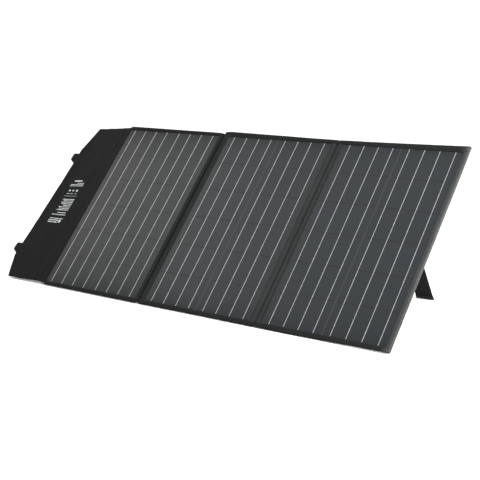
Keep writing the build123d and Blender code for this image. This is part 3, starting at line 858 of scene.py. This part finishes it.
def make_print():
    """All the print, as one thin mesh on the flap."""
    random.seed(PRINT_SEED)
    strips = []
    for line in HEADING:
        strips += printed_line(*line)
    for y, inward, radius, sides in ICONS:
        strips.append(icon(y, inward, radius, sides))
        strips += printed_line(y - 10.5, inward - 5, 10, 2.0, 5)
    strips.append(ink_bar(*RULE))
    for line in PARAGRAPH + FOOTING:
        strips += printed_line(*line)
    strips.append(icon(*LAST_ICON))
    for line in LAST_LINES:
        strips += printed_line(*line)
    parts = ([], [], [])
    for strip in strips:
        rings = []
        for (x, low), (_, high) in strip:
            section = ((low, -0.2), (low, INK), (high, INK), (high, -0.2))
            rings.append([place(x, y, flap_height(x, y) + lift) for y, lift in section])
        skin(parts, rings, lambda i, j: strip[i][j // 2], closed=False)
    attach(piece("flap_print", *parts, "print_ink"), "flap")


make_print()


# Flat sewn pieces

SLAB_PROFILE = ((1.0, 0.0), (0.35, 0.1), (0.0, 0.35), (0.0, 0.65), (0.35, 0.9), (1.0, 1.0))
CORNER_STEPS = 4
OUTLINE_STEP = 6


def slab(name, outline, face, thickness, material, body, shift=None, nodes=()):
    """A flat sewn piece with an outline of sheet places: its edges are pressed thin."""
    middle_x, middle_y = (sum(p[i] for p in outline) / len(outline) for i in range(2))
    rings = []
    for inset, level in SLAB_PROFILE:
        ring = []
        for x, y in outline:
            away = Vector((x - middle_x, y - middle_y))
            spot = away.normalized() * max(0.0, away.length - inset)
            px, py = middle_x + spot.x, middle_y + spot.y
            height = face + thickness * level
            if shift:
                height += shift(px, py)
            ring.append((px, py, height))
        rings.append(ring)
    made = loft(name, rings, material)
    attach(made, body)
    if nodes:
        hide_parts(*nodes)


def rounded_outline(corners, radius):
    """The points of an outline whose corners are rounded."""
    points = []
    for index, corner in enumerate(corners):
        before, after = corners[index - 1], corners[(index + 1) % len(corners)]
        c = Vector(corner)
        a = (Vector(before) - c).normalized() * radius
        b = (Vector(after) - c).normalized() * radius
        for i in range(CORNER_STEPS + 1):
            t = i / CORNER_STEPS
            points.append((1 - t) ** 2 * (c + a) + 2 * t * (1 - t) * c + t**2 * (c + b))
    dense = []
    for index, point in enumerate(points):
        run = points[(index + 1) % len(points)] - point
        count = max(1, int(run.length / OUTLINE_STEP))
        dense += [tuple(point + run * i / count) for i in range(count)]
    return dense


def rectangle(low_x, high_x, low_y, high_y):
    """The corners of a rectangle on the sheet."""
    return [(low_x, low_y), (high_x, low_y), (high_x, high_y), (low_x, high_y)]


def facing(lines, height, way):
    """Rows for sew(), from lines on a level and the way that the fabric faces."""
    return [([(x, y, height) for x, y in line], way) for line in lines]


def boxed_cross(x, y, wide, high):
    """The lines of a sewn box with a cross in it, about a middle."""
    corners = rectangle(x - wide / 2, x + wide / 2, y - high / 2, y + high / 2)
    return corners + corners[:1], [corners[0], corners[2]], [corners[1], corners[3]]


# The two fastening tabs, which reach past the flap's edge

TAB_TOPS = {"upper": 169.0, "lower": -153.0}
TAB_REACH = 22.5
TAB_ROOT = 15
TAB_FACE = FLAP_REAR - 1.2
TAB_THICK = 1.3
TAB_HIGH = 38


def make_tab(name, top):
    """A tab, its stitches and its hook patch."""
    corners = [
        (flap_edge + TAB_ROOT, top),
        (flap_edge - TAB_REACH, top - 2),
        (flap_edge - TAB_REACH, top - 24),
        (flap_edge, top - TAB_HIGH),
        (flap_edge + TAB_ROOT, top - TAB_HIGH),
    ]
    nodes = ("closure_tabs", "hook_patches") if name == "upper" else ()
    outline = rounded_outline(corners, 3.5)
    slab(f"tab_{name}", outline, TAB_FACE, TAB_THICK, "webbing", "flap", shift=sag, nodes=nodes)
    rows = []
    for x in (flap_edge + 5, flap_edge + 12):
        rows.append(([(x, y, TAB_FACE + sag(x, y)) for y in steps(top - 5, top - 33, 6)], TOWARDS_BACK))
    sew(f"seam_tab_{name}", rows, "flap")
    patch = rectangle(flap_edge - 14, flap_edge - 2, top - 21.5, top - 4.5)
    outline = rounded_outline(patch, 1.5)
    slab(f"hook_{name}", outline, FLAP_REAR + 0.1, 0.7, "hook_and_loop", "flap", shift=sag)


for name, top in TAB_TOPS.items():
    make_tab(name, top)


# The bound edges. A profile's points are how far in from the edge, and the height.

TAPE_PROFILE = near(TAPE_WIDE, (0, 0.2), (-0.2, 0.85), (-1.2, 1.05), (-2.4, 0.65), (-3.6, 1.1), (-6, 1.35))
TAPE_PROFILE += [(3.0, 1.25), (1.4, 0.6), (0.4, -0.6), (0.0, -2.6), (0.4, -4.6), (1.4, -5.8), (3.0, -6.3)]
TAPE_PROFILE += near(TAPE_WIDE, (-6, -6.4), (-3.6, -6.3), (-2.4, -5.95), (-1.2, -6.3), (-0.2, -6.15))
TAPE_PROFILE += [(TAPE_WIDE, rear)]
FRONT_SEAM = 3
BACK_SEAM = 15
TAPE_MIDDLE = -2.6
TAPE_SEED = {1: 3, -1: 7}
TAPE_STEP = 4
EDGE_ROUND = 3
SEAM_BORDER = 4
CORNERS = {1: 2.5, -1: 5.0}
CORNER_PIECES = 8
SIDE_OUT = 0.2
SIDE_FALL = 3.4
CORNER_FALL = 0.6
FALL_REACH = 175
PRESSED = (0.55, 0.85, 1.0)
# How far out the top and bottom edges stand along the row: each panel's own sagging line
TOP_EDGE = ((-512, -4.6), (-480, -4.6), (-350, -5.4), (-185, -6.4), (-177, -1.8), (-158, 0.0), (0, -2.4))
TOP_EDGE += ((100, -4.2), (160, -4.8), (180, -4.8), (214, -4.4), (262, -3.8), (310, -2.8), (418, -0.3))
TOP_EDGE += ((512, 2.2),)
BOTTOM_EDGE = ((-512, -0.9), (-350, -0.3), (-200, 0.5), (-20, 0.3), (142, 1.0), (262, 1.6), (370, 0.8))
BOTTOM_EDGE += ((418, 0.0), (512, -0.4))


def tape_inward(inward, wide):
    """A point of the tape's section, on a tape of another width."""
    if inward >= TAPE_WIDE - SEAM_BORDER:
        return wide - (TAPE_WIDE - inward)
    if inward <= EDGE_ROUND:
        return inward
    fixed = SEAM_BORDER + EDGE_ROUND
    return EDGE_ROUND + (inward - EDGE_ROUND) * (wide - fixed) / (TAPE_WIDE - fixed)


def tape_ring(x, y, nx, ny, corner, keep):
    """The tape's section at a point of the bound edge. (nx, ny) points out of the panel."""
    travel = x if ny else y
    seed = TAPE_SEED[1 if y > 0 else -1]
    wave = 0.35 * ripple(travel, 0, 42, seed)
    puff = 0.2 * ripple(travel, 0, 16, seed + 5)
    rightward = max(0.0, nx)
    outward = wave + along(TOP_EDGE, x) * max(0.0, ny) + along(BOTTOM_EDGE, x) * max(0.0, -ny)
    outward += SIDE_OUT * rightward
    fall = min(1, CORNER_FALL + (sheet_top - y) / FALL_REACH)
    ring = []
    for inward, height in TAPE_PROFILE:
        edge = 1 - inward / TAPE_WIDE
        sideways = tape_inward(inward, TAPE_WIDE)
        upward = tape_inward(inward, TOP_TAPE_WIDE if y > 0 else TAPE_WIDE)
        px = x - nx * sideways
        py = y - ny * upward
        if corner and inward >= corner:
            px = min(px, right_edge - sideways)
            py = max(upward - sheet_top, min(sheet_top - upward, py))
        level = TAPE_MIDDLE + (height - TAPE_MIDDLE) * keep
        level += puff if height > TAPE_MIDDLE else -puff * 0.5
        level -= SIDE_FALL * fall * rightward * edge
        ring.append((px + nx * outward * edge, py + ny * outward * edge, level))
    return ring


def straight_edge(low, high, sign, step=TAPE_STEP):
    """A run along the top or bottom: (x, y, outward x, outward y, corner radius)."""
    return [(x, sign * sheet_top, 0, sign, 0) for x in steps(low, high, step)]


def free_edge(start):
    """The right panel's run: along the top, down the free side and back along the bottom."""
    arcs = {}
    for sign, radius in CORNERS.items():
        cx, cy = right_edge - radius, sign * (sheet_top - radius)
        arcs[sign] = []
        for i in range(1, CORNER_PIECES):
            angle = math.pi / 2 * (1 - i / CORNER_PIECES)
            nx, ny = math.cos(angle), sign * math.sin(angle)
            arcs[sign].append((cx + radius * nx, cy + radius * ny, nx, ny, radius))
    side = steps(sheet_top - CORNERS[1], -sheet_top + CORNERS[-1], TAPE_STEP)
    run = straight_edge(start, right_edge - CORNERS[1], 1) + arcs[1]
    run += [(right_edge, y, 1, 0, CORNERS[1]) for y in side] + arcs[-1][::-1]
    return run + straight_edge(right_edge - CORNERS[-1], start, -1)


def make_tape(name, path, pressed_start=False, pressed_end=False, pinch=None):
    """A stretch of the tape, and its stitches. Its free ends are pressed thin."""
    rings, travel = [], []
    for index, (x, y, nx, ny, corner) in enumerate(path):
        before = path[max(0, index - 1)]
        travel.append((travel[-1] if travel else 0.0) + math.dist((x, y), before[:2]))
        keep = 1.0
        if pressed_start:
            keep = min(keep, PRESSED[min(2, index)])
        if pressed_end:
            keep = min(keep, PRESSED[min(2, len(path) - 1 - index)])
        if pinch is not None:
            keep *= 1 - 0.4 * math.exp(-(((x - pinch) / 4) ** 2))
        rings.append(tape_ring(x, y, nx, ny, corner, keep))
    widths = [0.0]
    for a, b in zip(TAPE_PROFILE, TAPE_PROFILE[1:]):
        widths.append(widths[-1] + math.dist(a, b))
    widths.append(widths[-1] + 6)
    made = loft(name, rings, "binding_tape", flat=lambda i, j: (widths[j], travel[i]))
    seams = ((FRONT_SEAM, TOWARDS_FRONT), (BACK_SEAM, TOWARDS_BACK))
    return made, sew(f"seam_{name}", [([ring[index] for ring in rings], way) for index, way in seams])


def make_bindings():
    """The tape round the panels, and where it crosses the folds beside the centre panel."""
    centre_start, centre_end = inner_x + HALF_ZONE, right_x - BOARD_EDGE
    right_start = right_x + BOARD_EDGE
    for word, sign in (("top", 1), ("bottom", -1)):
        edge = straight_edge(left_window - 1.5, outer_x - HALF_ZONE, sign)
        left = make_tape(f"binding_left_{word}", edge, True, True)
        centre = make_tape(f"binding_centre_{word}", straight_edge(centre_start, centre_end, sign))
        for pieces, side in ((left, "left"), (centre, "centre")):
            for made in pieces:
                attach(made, f"{side}_panel")
            if sign > 0:
                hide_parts(f"binding_{side}")
        edge = straight_edge(groove + 0.7, centre_start, sign)
        for made in make_tape(f"binding_spine_{word}", edge, True):
            blend_along(made, ("centre_panel", "left_spine"), inner_x + HALF_ZONE, inner_x - HALF_ZONE)
        edge = straight_edge(centre_end, right_start, sign, 1.5)
        for made in make_tape(f"binding_fold_{word}", edge, pinch=crease):
            blend_along(made, ("centre_panel", "right_panel"), centre_end, right_start)
    right = make_tape("binding_right_edge", free_edge(right_start))
    for made in right:
        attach(made, "right_panel")
    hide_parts("binding_right")


make_bindings()


# The backs

UNDER_TAPE = 1.5
BACK_STEP = 9
BACK_LIFT = 0.35
BACK_PUFF = 0.18
BACK_TUG = 0.12
TUG_PITCH = 5.5


def make_back(side):
    """A panel's back fabric, drawn a little tight over its board."""
    low, high = middles[side] - window_half, middles[side] + window_half
    if side == "right":
        high = right_edge - TAPE_WIDE + 1
    bottom, top = window_bottom - UNDER_TAPE, window_top + UNDER_TAPE
    rings = []
    for y in steps(bottom, top, BACK_STEP):
        ring = []
        for x in steps(low, high, BACK_STEP):
            inset = min(x - low, high - x, y - bottom, top - y)
            free = 1 - math.exp(-inset / 8)
            puff = BACK_PUFF * (1 - math.exp(-inset / 30)) * (0.5 + ripple(x, y, 120, 11))
            tug = BACK_TUG * free * math.exp(-inset / 14) * math.sin((x + y) / TUG_PITCH)
            ring.append((x, y, back_face - BACK_LIFT * free - puff + tug))
        rings.append(ring)
    made = loft(f"back_{side}", rings, "cover_fabric", closed=False)
    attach(made, f"{side}_panel")
    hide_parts(f"back_cover_{side}")


for side in SIDES:
    make_back(side)


# The legs

LEG_OPEN = math.radians(joints["right_leg_fold"]["range_deg"][1])
leg_down = Vector((0, -math.cos(LEG_OPEN), -math.sin(LEG_OPEN)))
leg_rear = Vector((0, math.sin(LEG_OPEN), -math.cos(LEG_OPEN)))
LEG_THICK = 4.0
LEG_HALF = 24
LEG_SEAM = 18.4
LEG_EDGE = [(-24.0, 0.9), (-24.15, 2.0), (-24.0, 3.1), (-22.8, 4.1), (-19.5, 4.15), (-LEG_SEAM, 3.8)]
LEG_EDGE += [(-17.4, 4.05)]
LEG_FACE = [(-9, 4.05), (0, 4.05), (9, 4.05)]


def on_leg(side, x, t, height):
    """A sheet place from a place on a leg: across it, down it from its pivot, and out behind."""
    spot = pivot_of(f"{side}_leg_fold") + leg_down * t + leg_rear * height
    return (middles[side] + x, spot.y, spot.z)


def leg_reach(side):
    """How far down the leg its sleeve goes."""
    pivot = pivot_of(f"{side}_leg_fold")
    vertices = frame["nodes"][f"leg_sleeve_{side}"].data.vertices
    return max((on_sheet(vertex.co) - pivot).dot(leg_down) for vertex in vertices)


def make_leg(side):
    """A leg's sleeve: a flat stiffened strip with a bound edge down each side."""
    section = LEG_EDGE + LEG_FACE + [(-x, height) for x, height in reversed(LEG_EDGE)]
    section += [(-x, LEG_THICK - height) for x, height in section][1:-1]
    reach = leg_reach(side)
    lengths = [0.8, 1.4, 2.6] + steps(6, reach - 0.3, 8)
    rings = []
    for t in lengths:
        keep = end_round(t - 0.4, 2.4)
        ring = []
        for x, height in section:
            crown = 0.25 * (1 - (x / LEG_HALF) ** 2) * (1 if height > 2 else -1)
            soft = 0.15 * ripple(x, t, 30, 7) if abs(x) < 20 else 0.0
            ring.append(on_leg(side, x, t, 2 + (height - 2 + crown + soft) * keep))
        rings.append(ring)
    made = loft(f"leg_{side}", rings, "leg_fabric", lambda i, j: (section[j % len(section)][0], lengths[i]))
    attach(made, f"{side}_leg")
    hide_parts(f"leg_sleeve_{side}")
    rows = []
    for x in (-LEG_SEAM, LEG_SEAM):
        for height, normal in ((3.85, leg_rear), (0.15, -leg_rear)):
            rows.append(([on_leg(side, x, t, height) for t in steps(5, reach - 4, 12)], normal))
    sew(f"seam_leg_{side}", rows, f"{side}_leg")


def band(name, route, wide, thick, material, x_middle):
    """A flat strap that follows points (y, height) on the sheet."""
    half = wide / 2
    section = [(-half, 0), (-half + 0.4, 0.8), (-half + 1.2, 1), (-half / 2, 0.9), (0, 1)]
    section += [(half / 2, 0.9), (half - 1.2, 1), (half - 0.4, 0.8), (half, 0), (half - 0.4, -0.8)]
    section += [(half - 1.2, -1), (0, -1), (-half + 1.2, -1), (-half + 0.4, -0.8)]
    rings, travel = [], []
    for index, spot in enumerate(route):
        here = Vector(spot)
        before = Vector(route[max(0, index - 1)])
        after = Vector(route[min(len(route) - 1, index + 1)])
        run = (after - before).normalized()
        outward = Vector((-run.y, run.x))
        travel.append((travel[-1] if travel else 0.0) + (here - before).length)
        rings.append([(x_middle + x, *(here + outward * h * (thick / 2))) for x, h in section])
    return loft(name, rings, material, lambda i, j: (rings[i][j % len(section)][0], travel[i]))


STRAP_REACH = 185.0
STRAP_WIDE = 20.0
STRAP_THICK = 0.6
STRAP_TAB = 24.0
STRAP_DIP = 3.5
TAB_MIDDLE = 0.42
HINGE_THICK = 1.0
HINGE_WIDE = 46
HINGE_LONG = 30
HINGE_OFF = 0.7
BEND_STEPS = 8


def make_leg_hinge(side, pivot):
    """The fabric that the leg hinges on, from the back to the leg's rear."""
    back_level = back_face - 0.6
    leg_level = LEG_THICK + HINGE_OFF
    start = Vector((pivot.y + 5.5, back_level))
    knee = Vector((pivot.y + 3.5, pivot.z - 3.6))
    end = Vector(on_leg(side, 0, 7, leg_level)[1:])
    route = [(pivot.y + t, back_level) for t in steps(HINGE_LONG, 6, 4)]
    for i in range(1, BEND_STEPS):
        t = i / BEND_STEPS
        route.append(tuple((1 - t) ** 2 * start + 2 * t * (1 - t) * knee + t**2 * end))
    route += [on_leg(side, 0, t, leg_level)[1:] for t in steps(8, HINGE_LONG, 4)]
    hinge = band(f"leg_hinge_{side}", route, HINGE_WIDE, HINGE_THICK, "leg_fabric", middles[side])
    start = place(middles[side], pivot.y + 6, back_face)
    end = place(*on_leg(side, 0, 9, LEG_THICK))
    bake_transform(hinge)
    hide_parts(f"leg_hinge_{side}")


def sew_leg_hinge(side, pivot):
    """The stitches across the hinge's fabric, on the back and on the leg."""
    xs = steps(-20, 20, 8)
    lines = [[(middles[side] + x, y) for x in xs] for y in (pivot.y + 12, pivot.y + 26)]
    rows = facing(lines, back_face - HINGE_THICK - 0.1, TOWARDS_BACK)
    sew(f"seam_hinge_back_{side}", rows, f"{side}_panel")
    level = LEG_THICK + HINGE_OFF + HINGE_THICK / 2
    rows = [([on_leg(side, x, t, level) for x in xs], leg_rear) for t in (13, 27)]
    sew(f"seam_hinge_leg_{side}", rows, f"{side}_leg")


def make_stay_strap(side, pivot):
    """The stay strap between the back and the leg, and its two sewn ends."""
    back_level = back_face - TAB_MIDDLE
    low = pivot.y - STRAP_REACH
    leg_end = Vector(on_leg(side, 0, STRAP_REACH, -TAB_MIDDLE)[1:])
    run = Vector((low, back_level)) - leg_end
    route = []
    for t in steps(0, 1, 0.05):
        dip = STRAP_DIP * math.sin(math.pi * t)
        spot = leg_end + run * t
        route.append((spot.x - dip * 0.7, spot.y - dip * 0.3))
    sized = (STRAP_WIDE, STRAP_THICK, "webbing", middles[side])
    strap = band(f"leg_strap_{side}", route, *sized)
    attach(strap, f"{side}_panel")
    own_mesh(strap)
    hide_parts(f"leg_strap_{side}")
    route = [(low - t, back_level) for t in steps(-1, STRAP_TAB, 3)]
    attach(band(f"strap_tab_{side}", route, *sized), f"{side}_panel")
    ends = steps(STRAP_REACH + 1, STRAP_REACH - STRAP_TAB, 3)
    route = [on_leg(side, 0, t, -TAB_MIDDLE)[1:] for t in ends]
    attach(band(f"strap_end_{side}", route, *sized), f"{side}_leg")
    wide, high = STRAP_WIDE - 5, STRAP_TAB - 6
    lines = boxed_cross(middles[side], low - STRAP_TAB / 2 - 1, wide, high)
    rows = facing(lines, back_level - STRAP_THICK / 2, TOWARDS_BACK)
    sew(f"seam_strap_tab_{side}", rows, f"{side}_panel")
    level = -TAB_MIDDLE - STRAP_THICK / 2
    rows = []
    for line in boxed_cross(0, STRAP_REACH - STRAP_TAB / 2 + 1, wide, high):
        rows.append(([on_leg(side, x, t, level) for x, t in line], -leg_rear))
    sew(f"seam_strap_end_{side}", rows, f"{side}_leg")


for side in SIDES:
    make_leg(side)
    for make in (make_leg_hinge, make_stay_strap, sew_leg_hinge):
        make(side, pivot_of(f"{side}_leg_fold"))


# The carry handle

handle_low, handle_high = span("handle_strap")
HANDLE_X = (handle_low.x + handle_high.x) / 2
HANDLE_RISE = 26.7
HANDLE_HALF = 80.0
HANDLE_THICK = 2.4
HANDLE_ROUND = 0.85
PATCH_FACE = back_face - 0.95
handle_root = back_face - 0.8 - 1.25


def make_handle():
    """The carry handle: a webbing arch, sewn down on a patch at each end."""
    route = []
    for t in steps(-1, 1, 0.04):
        arch = math.cos(t * math.pi / 2) ** HANDLE_ROUND
        route.append((t * HANDLE_HALF, handle_root - (HANDLE_RISE - 1.3) * arch))
    ends = [(HANDLE_HALF + e, handle_root) for e in (6, 12, 18, 24, 27)]
    route = [(-y, h) for y, h in reversed(ends)] + route + ends
    made = band("handle", route, 25, HANDLE_THICK, "webbing", HANDLE_X)
    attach(made, "centre_panel")
    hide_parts("handle_strap")
    for name, sign in (("upper", 1), ("lower", -1)):
        middle = sign * (HANDLE_HALF + 15)
        outline = rounded_outline(rectangle(HANDLE_X - 18, HANDLE_X + 18, middle - 20, middle + 20), 4)
        nodes = ("handle_patches",) if sign > 0 else ()
        patch = f"handle_patch_{name}"
        slab(patch, outline, PATCH_FACE, 0.9, "cover_fabric", "centre_panel", nodes=nodes)
        rows = facing(boxed_cross(HANDLE_X, middle, 31, 35)[:1], PATCH_FACE, TOWARDS_BACK)
        rows += facing(boxed_cross(HANDLE_X, middle, 19, 19), handle_root - 1.25, TOWARDS_BACK)
        sew(f"seam_handle_{name}", rows, "centre_panel")


make_handle()


# The camera: it stands in front of the panel and to its right, and looks down at it

CAMERA_PLACE = Vector((1.4942, -1.9976, 0.4032))
LOOK_AT = (29.7, -53.3, 0.0)
CAMERA_ROLL = math.radians(0.45)
LENS = 77.53
camera_data = bpy.data.cameras.new("camera")
camera = bpy.data.objects.new("camera", camera_data)
bpy.context.scene.collection.objects.link(camera)
camera_data.sensor_width = 36
camera_data.lens = LENS
camera.location = sheet_origin + CAMERA_PLACE
aim = place(*LOOK_AT) - camera.location
camera.rotation_mode = "QUATERNION"
roll = Matrix.Rotation(CAMERA_ROLL, 4, "Z").to_quaternion()
camera.rotation_quaternion = aim.to_track_quat("-Z", "Y") @ roll
bpy.context.scene.camera = camera


# The studio

SURROUND = 1.25
FLOOR_HALF = 30


def area_light(name, location, target, size, power, color=(1, 1, 1)):
    """A soft square light that faces a point."""
    data = bpy.data.lights.new(name, "AREA")
    data.size = size
    data.energy = power
    data.color = color
    light = bpy.data.objects.new(name, data)
    bpy.context.scene.collection.objects.link(light)
    light.location = location
    light.rotation_mode = "QUATERNION"
    light.rotation_quaternion = (Vector(target) - Vector(location)).to_track_quat("-Z", "Y")


def make_studio():
    """A pale floor, a pale surround and soft lights."""
    world = bpy.data.worlds.new("studio")
    bpy.context.scene.world = world
    world.use_nodes = True
    background = world.node_tree.nodes["Background"]
    background.inputs["Color"].default_value = (1, 1, 1, 1)
    background.inputs["Strength"].default_value = SURROUND
    mesh = bpy.data.meshes.new("floor")
    corners = [(x, y, 0) for x, y in rectangle(-FLOOR_HALF, FLOOR_HALF, -FLOOR_HALF, FLOOR_HALF)]
    mesh.from_pydata(corners, [], [(0, 1, 2, 3)])
    floor = bpy.data.objects.new("floor", mesh)
    bpy.context.scene.collection.objects.link(floor)
    Nodes("paper", (0.93, 0.93, 0.93), 0.9, specular=0.1)
    mesh.materials.append(materials["paper"])
    middle = tuple(place(0, 0, 0))
    area_light("overhead", (0.3, -0.3, 3.2), middle, 3.0, 45)
    area_light("left_box", (-1.5, -0.62, 1.75), place(-350, 0, 0), 1.0, 9, (1.0, 0.99, 0.95))
    edge = place(500, 120, 0)
    area_light("right_box", edge + (across * 0.97 + up * 0.2 + out * 0.05) * 0.9, edge, 0.4, 30)
    bpy.context.scene.view_settings.view_transform = "Standard"


make_studio()
